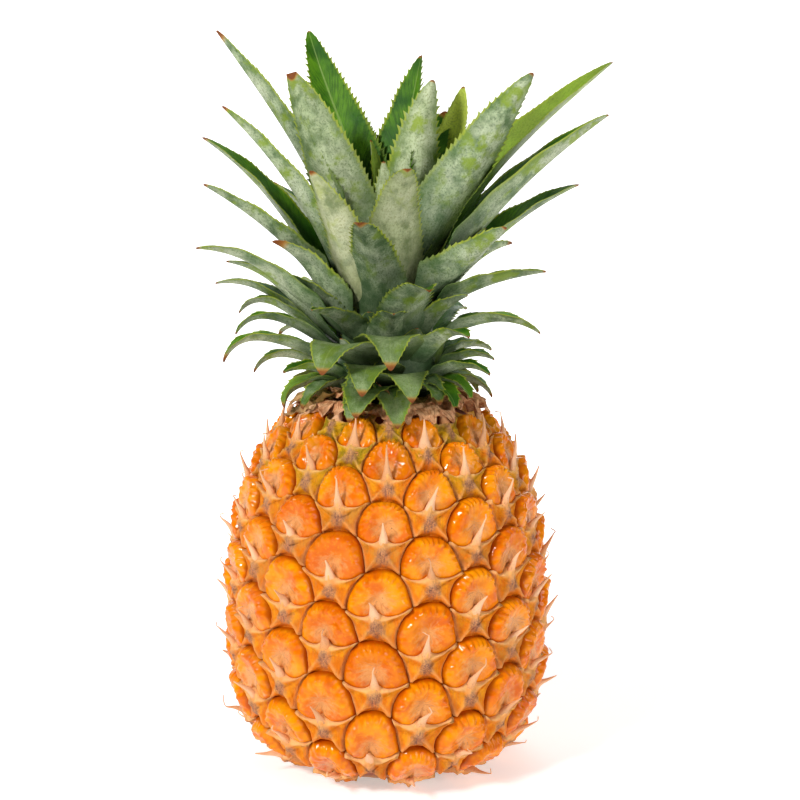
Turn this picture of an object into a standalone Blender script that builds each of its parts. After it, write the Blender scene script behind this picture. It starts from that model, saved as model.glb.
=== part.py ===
"""A small ripe pineapple standing on its base: the fruit with its eyes and bracts, the leafy crown,
the ring of dry scales at the crown's foot and the cut end of the stalk. Metres, +Z up, the front at -Y."""
import math
import random

import bmesh
import bpy
from mathutils import Vector

MM = 0.001
GAP = 0.3
SEAM = 0.02
SEED = 7
SHARP_ANGLE = math.radians(40)

# The fruit, in millimetres: a turned barrel through the creases between its eyes
FRUIT_HEIGHT = 112.0
FRUIT_RADIUS = 47.6
WIDEST_HEIGHT = 46.0
LOWER_REACH = 48.2
LOWER_POWER = 3.0
UPPER_REACH = 68.9
UPPER_POWER = 2.6
PROFILE_STEPS = 400
RIM_SIDES = 42
STALK_RADIUS = 14.0
STALK_DEPTH = 4.0
STALK_BEVEL = 0.8
STALK_SIDES = 28

# The eyes: columns round the fruit and rows down it, each column a part of a row lower than the last
COLUMNS = 21
COLUMN_SHIFT = 11.0 / 21.0
FIRST_ROW = -0.8
LAST_ROW = 4.53
FRONT_ANGLE = math.radians(0.3)
ROW_DRIFT = math.radians(-1.6)
ROW_ZERO = 111.4
ROW_PITCH = 17.7
ROW_STRETCH = 0.6

# Heights above the creases, in millimetres
DOME_RISE = 3.0
SHOULDER_RISE = 2.7
DOME_FOOT_RISE = 1.0
FOOT_SLOPE = 4.5
BRACT_RISE = 1.9
BRACT_MIDDLE_RISE = 2.5
THORN_RISE = (5.6, 8.2)
THORN_TIP_ACROSS = (-0.06, 0.06)
THORN_TIP_DOWN = (-0.02, 0.08)
LOWEST_POINT = 1.5
LOWER_FADE = 9.0
UPPER_FADE = 12.0

# The crown, in millimetres
STEM_BOTTOM = FRUIT_HEIGHT + GAP
STEM_OUTLINE = (
    (14.0, STEM_BOTTOM),
    (15.5, 123.0),
    (14.0, 134.0),
    (11.5, 147.0),
    (7.5, 164.0),
    (4.0, 176.0),
)
STEM_SIDES = 12
ROOT_SINK = 2.5
BLADE_THICKNESS = 1.7
TIP_THICKNESS = 0.8
CHANNEL = 0.55
FOLD_CHANNEL = 0.15
TOOTH_SPACING = 17.0
TOOTH_LENGTH = 1.5
TOOTH_LEAN = 0.75
TEETH_FROM = 0.14
TEETH_TO = 0.93
FEWEST_TEETH = 2

# How a blade narrows: parts of its width or length
BLADE_HANDLE = 0.4
SHORT_STEP = 0.01
TAPER_POWER = 0.57
TAPER_START = 1.15
ROOT_WIDTH = 0.5
STEM_PART = 0.75
FULL_WIDTH_AT = 0.3
TOOTH_FADE = 2.2

# Leaves seen from the front: tip x, y, z, height of the root, width in mm, elevation at the root
# and at the tip, and the blade's turn about its own length, in degrees
FRONT_LEAVES = (
    (-52, 5, 226, 146, 21, 74, 54, 12),
    (-28, -10, 210, 150, 21, 74, 66, 50),
    (-25, 24, 229, 158, 20, 82, 68, -40),
    (-49, -8, 202, 140, 16, 68, 44, 12),
    (-57, 6, 194, 139, 17, 52, 34, -12),
    (-55, -8, 179, 140, 15, 46, 30, 12),
    (-22, -26, 182, 139, 20, 66, 56, 5),
    (11, 14, 220, 166, 21, 84, 74, -10),
    (14, -6, 210, 158, 20, 80, 70, -60),
    (6, -34, 182, 141, 20, 78, 25, 0),
    (25, 26, 212, 158, 20, 60, 88, 0),
    (43, -14, 211, 150, 20, 62, 54, -50),
    (71, 14, 218, 145, 17, 64, 40, 12),
    (67, -4, 200, 140, 21, 56, 36, 6),
    (61, 14, 180, 140, 19, 42, 24, 8),
    (-57, -12, 160, 133, 16, 30, 2, 0),
    (-49, -4, 156, 130, 14, 28, 10, 0),
    (-54, 8, 149, 128, 13, 26, -8, 0),
    (-46, 2, 140, 127, 12, 28, -50, 0),
    (-46, -8, 134, 126, 11, 33, -58, 0),
    (-49, -14, 126, 123, 12, 22, -66, 0),
    (-41, -4, 122, 121, 11, 20, -60, 0),
    (-31, -16, 123, 119, 13, 18, -20, 0),
    (-31, -12, 112, 117, 12, 20, -88, 0),
    (-34, -14, 162, 134, 18, 44, 24, 10),
    (-8, -36, 167, 137, 18, 70, 20, 0),
    (12, -38, 148, 131, 20, 52, -8, 0),
    (35, -20, 166, 142, 18, 34, 40, -20),
    (48, -10, 153, 138, 17, 34, 8, 0),
    (47, -6, 134, 131, 14, 22, -34, 0),
    (24, -24, 134, 125, 14, 24, -24, 0),
    (33, -6, 126, 121, 12, 26, -26, 0),
    (31, -14, 122, 119, 11, 28, -34, 0),
    (25, -16, 115, 117, 11, 26, -66, 0),
    (20, -22, 113, 116, 11, 24, -74, 0),
    (33, 6, 128, 124, 13, 22, -30, 0),
)

# Flatter leaves that fold over and hang down in front, in the same columns of numbers
FOLDED_LEAVES = (
    (-18, -44, 125, 125, 21, 26, -68, 0),
    (1, -52, 127, 126, 18, 26, -66, 0),
    (-7, -44, 119, 120, 16, 26, -66, 0),
    (7, -42, 117, 118, 15, 24, -64, 0),
    (-9, -36, 112, 116, 15, 22, -60, 0),
    (3, -37, 109, 116, 13, 22, -62, 0),
    (-11, -31, 110, 115, 11, 18, -58, 0),
)

# The youngest leaves, which close over the stem's end, in the same columns of numbers
HEART_LEAVES = (
    (5, 3, 190, 164, 9, 86, 80, 0),
    (-5, 3, 193, 165, 9, 86, 80, 0),
    (-1, -6, 186, 163, 9, 86, 80, 0),
)

# Small leaves round the crown's foot, by the golden angle: root height, reach, tip height
FOOT_LEAVES = 9
FOOT_ROOTS = (115.5, 120.0)
FOOT_REACH = (27.0, 34.0)
FOOT_TIPS = (112.0, 114.5)
FOOT_WIDTH = 10.5
FOOT_LIFT = 30.0
FOOT_DROOP = -62.0

# Leaves on the hidden side, spread by the golden angle: where each tier stands on the stem, and
# how far out and up its tips reach there
BACK_LEAVES = 20
BACK_MIDDLE = math.radians(180.0)
BACK_SPREAD = math.radians(64.0)
BACK_START = 0.12
BACK_REACH_RANGE = (0.92, 1.05)
BACK_WIDTH_RANGE = (0.9, 1.1)
BACK_TOP_RANGE = (-3.0, 3.0)
BACK_ROLL_RANGE = (-30.0, 30.0)
GOLDEN_PART = 0.6180339887
BACK_TIERS = (
    (116.0, 31.0, 113.0, 12.0, 22.0, -66.0),
    (123.0, 42.0, 128.0, 13.0, 28.0, -52.0),
    (130.0, 47.0, 147.0, 15.0, 30.0, -8.0),
    (138.0, 49.0, 171.0, 17.0, 44.0, 24.0),
    (147.0, 46.0, 193.0, 18.0, 64.0, 46.0),
    (160.0, 34.0, 211.0, 19.0, 78.0, 62.0),
)

# The dry scales at the crown's foot, in millimetres
COLLAR_INNER = 15.0
COLLAR_OUTER = 19.6
COLLAR_SIDES = 18
COLLAR_THICKNESS = 1.6
SCALE_COUNT = 14
SCALE_REACH = (7.0, 9.5)
SCALE_DROP = (-1.5, 0.5)
SCALE_WIDTH = (7.0, 11.0)
SCALE_SHIFT = (-0.25, 0.25)
SCALE_LIFT = math.radians(38)
SCALE_DROOP = math.radians(-48)
SCALE_ROOT_WIDTH = 0.4
SCALE_THICKNESS = 1.2
SCALE_CHANNEL = 0.2


def profile_radius(height):
    """Radius of the barrel at a height: a rounded shoulder above and below its widest place."""
    if height < WIDEST_HEIGHT:
        share = (WIDEST_HEIGHT - height) / LOWER_REACH
        return FRUIT_RADIUS * (1 - share ** LOWER_POWER) ** (1 / LOWER_POWER)
    share = (height - WIDEST_HEIGHT) / UPPER_REACH
    return FRUIT_RADIUS * (1 - share ** UPPER_POWER) ** (1 / UPPER_POWER)


def measured_profile():
    """Points down the barrel's side, each with its length along the side from the base's rim."""
    points = []
    length = 0.0
    for step in range(PROFILE_STEPS + 1):
        height = FRUIT_HEIGHT * step / PROFILE_STEPS
        radius = profile_radius(height)
        if points:
            length += math.hypot(radius - points[-1][1], height - points[-1][2])
        points.append((length, radius, height))
    return points


PROFILE = measured_profile()
SIDE_LENGTH = PROFILE[-1][0]


def on_side(length, rise):
    """Radius and height at a length up the side, raised square to it."""
    length = max(LOWEST_POINT, min(SIDE_LENGTH, length))
    low, high = 0, PROFILE_STEPS
    while high - low > 1:
        middle = (low + high) // 2
        if PROFILE[middle][0] <= length:
            low = middle
        else:
            high = middle
    start, end = PROFILE[low], PROFILE[high]
    run = end[0] - start[0]
    share = (length - start[0]) / run
    outward = (end[2] - start[2]) / run
    upward = -(end[1] - start[1]) / run
    radius = start[1] + share * (end[1] - start[1]) + rise * outward
    height = start[2] + share * (end[2] - start[2]) + rise * upward
    return radius, height


def fruit_point(column, row, rise):
    """A place on the fruit from its column and row, both of which may be parts of one."""
    angle = FRONT_ANGLE + column * math.tau / COLUMNS + row * ROW_DRIFT
    length = ROW_ZERO - ROW_PITCH * row - ROW_STRETCH * row * row
    from_end = min((length - LOWEST_POINT) / LOWER_FADE, (SIDE_LENGTH - length) / UPPER_FADE)
    fade = max(0.0, min(1.0, from_end))
    radius, height = on_side(length, rise * fade)
    return Vector((radius * math.sin(angle), -radius * math.cos(angle), height)) * MM


# An eye's outline in parts of a column across and of a row down from its middle; what it shares
# with its neighbours is worked out from the shift between columns
CORNER = (0.36, -0.29)
CROWN_OF_DOME = -0.37
SIDE = 0.54
WING = 1 - CORNER[0]
SPIKE_FOOT = (0.15, 0.29)
SPIKE_ROOT = 0.20
WING_DOWN_RIGHT = 1 + CORNER[1] - (1 - COLUMN_SHIFT)
WING_DOWN_LEFT = 1 + CORNER[1] - COLUMN_SHIFT
DOME_MIDDLE = (0.0, -0.02)
BRACT_MIDDLE = (0.0, 0.46)
SHOULDER_INSET = 0.28
BRACT_INSET = 0.15


def dome_outline():
    """Round an eye's dome from its upper left corner, each point with its rise."""
    top = [(-CORNER[0], CORNER[1]), (0, CROWN_OF_DOME), CORNER]
    right = [(SIDE, 0), (WING, WING_DOWN_RIGHT)]
    left = [(-WING, WING_DOWN_LEFT), (-SIDE, 0)]
    foot = [SPIKE_FOOT, (0, SPIKE_ROOT), (-SPIKE_FOOT[0], SPIKE_FOOT[1])]
    rises = [0.0] * 5 + [DOME_FOOT_RISE] * 3 + [0.0] * 2
    return [(point, rise) for point, rise in zip(top + right + foot + left, rises)]


def bract_outline():
    """Round the star-shaped bract below the dome from its right wing, each point with its rise."""
    right = [(WING, WING_DOWN_RIGHT), (1 - SIDE, COLUMN_SHIFT), (CORNER[0], 1 + CORNER[1])]
    below = [(0, 1 + CROWN_OF_DOME)]
    left = [(-CORNER[0], 1 + CORNER[1]), (SIDE - 1, 1 - COLUMN_SHIFT), (-WING, WING_DOWN_LEFT)]
    above = [(-SPIKE_FOOT[0], SPIKE_FOOT[1]), (0, SPIKE_ROOT), SPIKE_FOOT]
    rises = [0.0] * 7 + [DOME_FOOT_RISE] * 3
    return [(point, rise) for point, rise in zip(right + below + left + above, rises)]


def raised_patch(mesh, column, row, outline, inner, middle, middle_rise):
    """A closed outline, a raised ring inside it and a middle point, as triangles."""
    outer_ring = [mesh.verts.new(fruit_point(column + p[0], row + p[1], rise)) for p, rise in outline]
    inner_ring = [mesh.verts.new(fruit_point(column + p[0], row + p[1], rise)) for p, rise in inner]
    centre = mesh.verts.new(fruit_point(column + middle[0], row + middle[1], middle_rise))
    count = len(outer_ring)
    for index in range(count):
        after = (index + 1) % count
        mesh.faces.new((outer_ring[index], inner_ring[index], inner_ring[after]))
        mesh.faces.new((outer_ring[index], inner_ring[after], outer_ring[after]))
        mesh.faces.new((inner_ring[index], centre, inner_ring[after]))


def drawn_in(point, middle, share):
    return (point[0] + share * (middle[0] - point[0]), point[1] + share * (middle[1] - point[1]))


def add_eye(mesh, column, row, draw):
    """One eye: its dome, and the bract below it whose spike stands out over the dome."""
    outline = dome_outline()
    shoulder = []
    for point, _ in outline:
        inset = drawn_in(point, DOME_MIDDLE, SHOULDER_INSET)
        shoulder.append((inset, SHOULDER_RISE - FOOT_SLOPE * max(0.0, inset[1])))
    raised_patch(mesh, column, row, outline, shoulder, (0.0, 0.0), DOME_RISE)
    outline = bract_outline()
    ring = [(drawn_in(point, BRACT_MIDDLE, BRACT_INSET), BRACT_RISE) for point, _ in outline]
    tip = (draw.uniform(*THORN_TIP_ACROSS), draw.uniform(*THORN_TIP_DOWN))
    spike = outline.index(((0, SPIKE_ROOT), DOME_FOOT_RISE))
    ring[spike] = (tip, draw.uniform(*THORN_RISE))
    raised_patch(mesh, column, row, outline, ring, BRACT_MIDDLE, BRACT_MIDDLE_RISE)


def ordered_loop(edges):
    """The vertices of a closed chain of edges, in order."""
    first = edges[0].verts[0]
    loop = [first]
    links = {}
    for edge in edges:
        for vertex in edge.verts:
            links.setdefault(vertex, []).append(edge.other_vert(vertex))
    before, here = None, first
    while True:
        following = links[here][0] if links[here][0] != before else links[here][1]
        if following == first:
            return loop
        loop.append(following)
        before, here = here, following


def ring_of_points(mesh, radius, height, sides):
    ring = []
    for side in range(sides):
        angle = side * math.tau / sides
        place = Vector((radius * math.cos(angle), radius * math.sin(angle), height))
        ring.append(mesh.verts.new(place * MM))
    return ring


def close_end(mesh, loop, rings):
    """Carries an open edge in through flat rings of the given radius and height, and closes it."""
    for radius, height in rings:
        ring = ring_of_points(mesh, radius, height, RIM_SIDES)
        places = [round(math.atan2(v.co.y, v.co.x) * RIM_SIDES / math.tau) % RIM_SIDES for v in loop]
        for index, vertex in enumerate(loop):
            after = (index + 1) % len(loop)
            near, far = ring[places[index]], ring[places[after]]
            mesh.faces.new((vertex, loop[after], far))
            if near is not far:
                mesh.faces.new((vertex, far, near))
        loop = ring
    mesh.faces.new(loop)


def fruit_mesh():
    mesh = bmesh.new()
    draw = random.Random(SEED)
    for column in range(COLUMNS):
        row = column * COLUMN_SHIFT
        row -= math.floor(row - FIRST_ROW)
        while row <= LAST_ROW:
            add_eye(mesh, column, row, draw)
            row += 1
    bmesh.ops.remove_doubles(mesh, verts=mesh.verts, dist=SEAM * MM)
    open_edges = [edge for edge in mesh.edges if edge.is_boundary]
    halfway = FRUIT_HEIGHT / 2 * MM
    low = ordered_loop([edge for edge in open_edges if edge.verts[0].co.z < halfway])
    high = ordered_loop([edge for edge in open_edges if edge.verts[0].co.z > halfway])
    rim = profile_radius(0)
    close_end(mesh, low, ((rim, 0), (STALK_RADIUS, 0), (STALK_RADIUS, STALK_DEPTH)))
    close_end(mesh, high, ((profile_radius(FRUIT_HEIGHT), FRUIT_HEIGHT),))
    bmesh.ops.triangulate(mesh, faces=mesh.faces)
    bmesh.ops.recalc_face_normals(mesh, faces=mesh.faces)
    return mesh


def material(name, colour, roughness):
    surface = bpy.data.materials.new(name)
    surface.use_nodes = True
    shader = surface.node_tree.nodes["Principled BSDF"]
    shader.inputs["Base Color"].default_value = (*colour, 1)
    shader.inputs["Roughness"].default_value = roughness
    shader.inputs["Metallic"].default_value = 0
    return surface


def add_object(name, mesh, surface):
    data = bpy.data.meshes.new(name)
    mesh.to_mesh(data)
    mesh.free()
    data.shade_smooth()
    data.set_sharp_from_angle(angle=SHARP_ANGLE)
    data.materials.append(surface)
    item = bpy.data.objects.new(name, data)
    bpy.context.scene.collection.objects.link(item)
    return item


def curve_point(ends, share):
    """A place on a cubic curve through its first and last control points."""
    rest = 1 - share
    weights = (rest ** 3, 3 * rest * rest * share, 3 * rest * share * share, share ** 3)
    return sum((weight * end for weight, end in zip(weights, ends)), Vector((0, 0, 0)))


def blade_stations(teeth):
    """Places along a blade, in parts of its length, and how far its edge stands out at each."""
    stations = [(0.0, 0.0)]
    step = (TEETH_TO - TEETH_FROM) / teeth
    for tooth in range(teeth):
        stations.append((TEETH_FROM + tooth * step, 0.0))
        stations.append((TEETH_FROM + (tooth + TOOTH_LEAN) * step, TOOTH_LENGTH))
    stations.append((TEETH_TO, 0.0))
    return stations


def blade_mesh(root, tip, size, lift, droop, teeth, roll=0.0, channel=CHANNEL):
    """A channelled blade from its root to its tip, its two edges cut into forward-pointing teeth.
    Its size is its width, the part of it left at the root, and its thickness."""
    width, root_width, thickness = size
    outward = Vector((tip.x - root.x, tip.y - root.y, 0)).normalized()
    level = Vector((-outward.y, outward.x, 0))
    reach = BLADE_HANDLE * (tip - root).length
    leave = outward * math.cos(lift) + Vector((0, 0, math.sin(lift)))
    arrive = outward * math.cos(droop) + Vector((0, 0, math.sin(droop)))
    ends = (root, root + reach * leave, tip - reach * arrive, tip)
    mesh = bmesh.new()
    sections = []
    for share, tooth in blade_stations(teeth):
        middle = curve_point(ends, share)
        ahead = curve_point(ends, share + SHORT_STEP)
        along = (ahead - curve_point(ends, share - SHORT_STEP)).normalized()
        opened = min(1.0, share / FULL_WIDTH_AT)
        turn = roll * opened
        across = level * math.cos(turn) + along.cross(level) * math.sin(turn)
        upward = along.cross(across)
        left = 1 - share
        narrowing = min(1.0, TAPER_START * left ** TAPER_POWER)
        half = width / 2 * narrowing * (root_width + (1 - root_width) * opened)
        edge = across * (half + tooth * min(1.0, TOOTH_FADE * left))
        raised = upward * channel * half * opened
        thick = upward * (TIP_THICKNESS + (thickness - TIP_THICKNESS) * left) / 2
        places = (middle - edge + raised, middle + thick, middle + edge + raised, middle - thick)
        sections.append([mesh.verts.new(place * MM) for place in places])
    point = mesh.verts.new(tip * MM)
    mesh.faces.new(reversed(sections[0]))
    for here, there in zip(sections, sections[1:]):
        for side in range(4):
            after = (side + 1) % 4
            corner = there[after] if side % 2 == 0 else there[side]
            other = here[side] if side % 2 == 0 else here[after]
            mesh.faces.new((here[side], here[after], corner))
            mesh.faces.new((other, there[after], there[side]))
    for side in range(4):
        mesh.faces.new((sections[-1][side], sections[-1][(side + 1) % 4], point))
    bmesh.ops.recalc_face_normals(mesh, faces=mesh.faces)
    return mesh


def stem_radius(height):
    for (low_radius, low), (high_radius, high) in zip(STEM_OUTLINE, STEM_OUTLINE[1:]):
        if height <= high:
            return low_radius + (height - low) / (high - low) * (high_radius - low_radius)
    return STEM_OUTLINE[-1][0]


def crown_leaf(row, channel):
    x, y, z, root_height, width, *angles = row
    lift, droop, roll = (math.radians(angle) for angle in angles)
    stem = stem_radius(root_height)
    root = Vector((x, y, 0)).normalized() * (stem - ROOT_SINK) + Vector((0, 0, root_height))
    tip = Vector((x, y, z))
    teeth = max(FEWEST_TEETH, round((tip - root).length / TOOTH_SPACING))
    size = (width, min(ROOT_WIDTH, STEM_PART * 2 * stem / width), BLADE_THICKNESS)
    return blade_mesh(root, tip, size, lift, droop, teeth, roll, channel)


def tier_value(height, place):
    """A measure of the hidden leaves at a height on the stem, between two tiers."""
    for lower, upper in zip(BACK_TIERS, BACK_TIERS[1:]):
        if height <= upper[0]:
            share = (height - lower[0]) / (upper[0] - lower[0])
            return lower[place] + share * (upper[place] - lower[place])
    return BACK_TIERS[-1][place]


def back_leaves():
    """The hidden leaves, in the same columns of numbers as those seen from the front."""
    draw = random.Random(SEED + 1)
    leaves = []
    for index in range(BACK_LEAVES):
        share = (index + 0.5) / BACK_LEAVES
        height = BACK_TIERS[0][0] + share * (BACK_TIERS[-1][0] - BACK_TIERS[0][0])
        turn = 2 * ((index * GOLDEN_PART + BACK_START) % 1.0) - 1
        angle = BACK_MIDDLE + turn * BACK_SPREAD
        reach = tier_value(height, 1) * draw.uniform(*BACK_REACH_RANGE)
        top = tier_value(height, 2) + draw.uniform(*BACK_TOP_RANGE)
        width = tier_value(height, 3) * draw.uniform(*BACK_WIDTH_RANGE)
        place = (reach * math.sin(angle), -reach * math.cos(angle))
        roll = draw.uniform(*BACK_ROLL_RANGE)
        angles = (tier_value(height, 4), tier_value(height, 5), roll)
        leaves.append((*place, top, height, width, *angles))
    return leaves


def foot_leaves():
    """The small leaves round the crown's foot, in the same columns of numbers."""
    draw = random.Random(SEED + 3)
    leaves = []
    for index in range(FOOT_LEAVES):
        angle = (index * GOLDEN_PART % 1.0) * math.tau
        height = FOOT_ROOTS[0] + index / FOOT_LEAVES * (FOOT_ROOTS[1] - FOOT_ROOTS[0])
        reach = draw.uniform(*FOOT_REACH)
        place = (reach * math.sin(angle), -reach * math.cos(angle))
        angles = (FOOT_LIFT, FOOT_DROOP, 0)
        leaves.append((*place, draw.uniform(*FOOT_TIPS), height, FOOT_WIDTH, *angles))
    return leaves


def turned_mesh(outline, sides):
    """A solid turned about the vertical axis from its outline of radius and height, bottom first."""
    mesh = bmesh.new()
    rings = [ring_of_points(mesh, radius, height, sides) for radius, height in outline]
    for lower, upper in zip(rings, rings[1:]):
        for side in range(sides):
            after = (side + 1) % sides
            mesh.faces.new((lower[side], lower[after], upper[after], upper[side]))
    mesh.faces.new(reversed(rings[0]))
    mesh.faces.new(rings[-1])
    bmesh.ops.triangulate(mesh, faces=mesh.faces)
    return mesh


def joined(name, base, pieces, surface):
    """One solid from a base and the pieces that grow from it, by a union on their collection."""
    body = add_object(name, base, surface)
    group = bpy.data.collections.new(name + "_pieces")
    bpy.context.scene.collection.children.link(group)
    for index, piece in enumerate(pieces):
        item = add_object(f"{name}_piece_{index}", piece, surface)
        bpy.context.scene.collection.objects.unlink(item)
        group.objects.link(item)
    union = body.modifiers.new("union", "BOOLEAN")
    union.operation = "UNION"
    union.operand_type = "COLLECTION"
    union.collection = group
    union.solver = "EXACT"
    bpy.context.view_layer.update()
    evaluated = body.evaluated_get(bpy.context.evaluated_depsgraph_get())
    merged = bpy.data.meshes.new_from_object(evaluated)
    body.modifiers.clear()
    for item in list(group.objects):
        bpy.data.objects.remove(item)
    bpy.data.collections.remove(group)
    mesh = bmesh.new()
    mesh.from_mesh(merged)
    drop_scraps(mesh)
    bmesh.ops.triangulate(mesh, faces=mesh.faces)
    mesh.to_mesh(body.data)
    mesh.free()
    body.data.shade_smooth()
    body.data.set_sharp_from_angle(angle=SHARP_ANGLE)
    return body


def drop_scraps(mesh):
    """Keeps only the largest connected piece."""
    seen = set()
    groups = []
    for start in mesh.verts:
        if start in seen:
            continue
        stack, group = [start], []
        seen.add(start)
        while stack:
            vertex = stack.pop()
            group.append(vertex)
            for edge in vertex.link_edges:
                other = edge.other_vert(vertex)
                if other not in seen:
                    seen.add(other)
                    stack.append(other)
        groups.append(group)
    groups.sort(key=len)
    for group in groups[:-1]:
        bmesh.ops.delete(mesh, geom=group, context="VERTS")


def collar_mesh():
    mesh = bmesh.new()
    low = STEM_BOTTOM
    high = low + COLLAR_THICKNESS
    outline = ((COLLAR_OUTER, low), (COLLAR_OUTER, high), (COLLAR_INNER, high), (COLLAR_INNER, low))
    rings = [ring_of_points(mesh, radius, height, COLLAR_SIDES) for radius, height in outline]
    for lower, upper in zip(rings, rings[1:] + rings[:1]):
        for side in range(COLLAR_SIDES):
            after = (side + 1) % COLLAR_SIDES
            mesh.faces.new((lower[side], lower[after], upper[after], upper[side]))
    bmesh.ops.triangulate(mesh, faces=mesh.faces)
    bmesh.ops.recalc_face_normals(mesh, faces=mesh.faces)
    return mesh


def dry_scale_pieces():
    """Short papery scales that lean out from the collar over the fruit's shoulder."""
    draw = random.Random(SEED + 2)
    pieces = []
    for index in range(SCALE_COUNT):
        angle = (index + draw.uniform(*SCALE_SHIFT)) * math.tau / SCALE_COUNT
        out = Vector((math.sin(angle), -math.cos(angle), 0))
        height = STEM_BOTTOM + COLLAR_THICKNESS / 2
        root = out * (COLLAR_INNER + COLLAR_OUTER) / 2 + Vector((0, 0, height))
        reach = COLLAR_OUTER + draw.uniform(*SCALE_REACH)
        tip = out * reach + Vector((0, 0, height + draw.uniform(*SCALE_DROP)))
        size = (draw.uniform(*SCALE_WIDTH), SCALE_ROOT_WIDTH, SCALE_THICKNESS)
        pieces.append(blade_mesh(root, tip, size, SCALE_LIFT, SCALE_DROOP, 1, channel=SCALE_CHANNEL))
    return pieces


def stalk_mesh():
    outer = STALK_RADIUS - GAP
    outline = ((outer - STALK_BEVEL, 0), (outer, STALK_BEVEL), (outer, STALK_DEPTH - GAP))
    return turned_mesh(outline, STALK_SIDES)


for item in list(bpy.data.objects):
    bpy.data.objects.remove(item)

orange = material("ripe_rind", (0.86, 0.33, 0.02), 0.34)
green = material("leaf_green", (0.13, 0.24, 0.09), 0.5)
brown = material("dry_scale", (0.42, 0.24, 0.13), 0.75)
pale = material("cut_stalk", (0.55, 0.42, 0.25), 0.8)

add_object("fruit", fruit_mesh(), orange)
rows = list(FRONT_LEAVES) + list(HEART_LEAVES) + foot_leaves() + back_leaves()
leaves = [crown_leaf(row, CHANNEL) for row in rows]
leaves += [crown_leaf(row, FOLD_CHANNEL) for row in FOLDED_LEAVES]
joined("crown", turned_mesh(STEM_OUTLINE, STEM_SIDES), leaves, green)
joined("dry_scales", collar_mesh(), dry_scale_pieces(), brown)
add_object("stalk_end", stalk_mesh(), pale)
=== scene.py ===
"""The looks of a small ripe pineapple: its rind of eyes and bracts, its toothed leaves, the dry scales
between them and the cut stalk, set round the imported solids. Lengths are in millimetres up to the mesh."""

import math
import random

import bpy
import numpy as np
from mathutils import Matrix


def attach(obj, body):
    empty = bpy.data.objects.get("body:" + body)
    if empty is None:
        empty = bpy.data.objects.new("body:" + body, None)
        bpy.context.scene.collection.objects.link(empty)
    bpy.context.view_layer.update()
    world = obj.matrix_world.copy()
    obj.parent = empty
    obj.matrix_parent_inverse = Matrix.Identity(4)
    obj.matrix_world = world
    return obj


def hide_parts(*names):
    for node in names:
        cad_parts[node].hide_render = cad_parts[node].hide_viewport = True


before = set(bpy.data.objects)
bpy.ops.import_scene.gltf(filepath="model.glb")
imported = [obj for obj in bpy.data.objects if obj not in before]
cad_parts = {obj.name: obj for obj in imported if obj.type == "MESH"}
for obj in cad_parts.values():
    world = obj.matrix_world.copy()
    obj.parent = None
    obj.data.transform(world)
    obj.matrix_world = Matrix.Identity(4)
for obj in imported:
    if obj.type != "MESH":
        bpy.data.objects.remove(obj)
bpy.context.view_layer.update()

MM = 0.001
TAU = math.tau
SEED = 7

# The fruit: a turned barrel through the creases between its eyes
FRUIT_HEIGHT = 112
FRUIT_RADIUS = 47.6
WIDEST_HEIGHT = 46
LOWER_REACH = 48.2
LOWER_POWER = 3
UPPER_REACH = 68.9
UPPER_POWER = 2.6
PROFILE_STEPS = 800
LOWEST_POINT = 1.5
LOWER_FADE = 9
UPPER_FADE = 9

# The eyes: columns round the fruit and rows down it, each column a part of a row lower than the last
COLUMNS = 21
COLUMN_SHIFT = 11 / 21
FIRST_ROW = -0.8
LAST_ROW = 4.53
FRONT_ANGLE = math.radians(0.3)
ROW_DRIFT = math.radians(-1.6)
ROW_ZERO = 111.4
ROW_PITCH = 17.7
ROW_STRETCH = 0.6
COLUMN_WIDTH = TAU * FRUIT_RADIUS / COLUMNS
THORN_RISE = (5.6, 8.2)
THORN_TIP_ACROSS = (-0.06, 0.06)
THORN_TIP_DOWN = (-0.02, 0.08)
LOWEST_ROW = 4.9

# How far the eyes stray, and the two waves that move them: share, turns round, phase a row, start
STRAY_ACROSS = 0.028
STRAY_DOWN = 0.022
ACROSS_WAVES = ((1, 8, 2.3, 0), (0.7, 5, -3.9, 1))
DOWN_WAVES = ((1, 7, -2.9, 2), (0.7, 4, 4.6, 0))


def on_side(length, rise):
    """Radius and height at lengths up the barrel's side, raised square to it."""
    length = np.clip(length, LOWEST_POINT, SIDE_LENGTH)
    radius, height, outward, upward = (np.interp(length, PROFILE[0], column) for column in PROFILE[1:])
    return radius + rise * outward, height + rise * upward


def measured_profile():
    """Lengths up the side with the radius, the height and the direction square to the side there."""
    height = np.linspace(0, FRUIT_HEIGHT, PROFILE_STEPS + 1)
    below = height < WIDEST_HEIGHT
    share = np.where(below, (WIDEST_HEIGHT - height) / LOWER_REACH, (height - WIDEST_HEIGHT) / UPPER_REACH)
    power = np.where(below, LOWER_POWER, UPPER_POWER)
    radius = FRUIT_RADIUS * (1 - share ** power) ** (1 / power)
    steps = np.hypot(np.diff(radius), np.diff(height))
    length = np.concatenate(((0,), np.cumsum(steps)))
    return length, radius, height, np.gradient(height, length), -np.gradient(radius, length)


PROFILE = measured_profile()
SIDE_LENGTH = PROFILE[0][-1]


def placed(angle, reach, height):
    """A place by its angle from the front, its reach from the axis and its height."""
    return reach * np.sin(angle), -reach * np.cos(angle), height


def two_waves(waves, turn, row):
    return sum(part * np.sin(around * turn + lag * row + start) for part, around, lag, start in waves)


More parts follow.
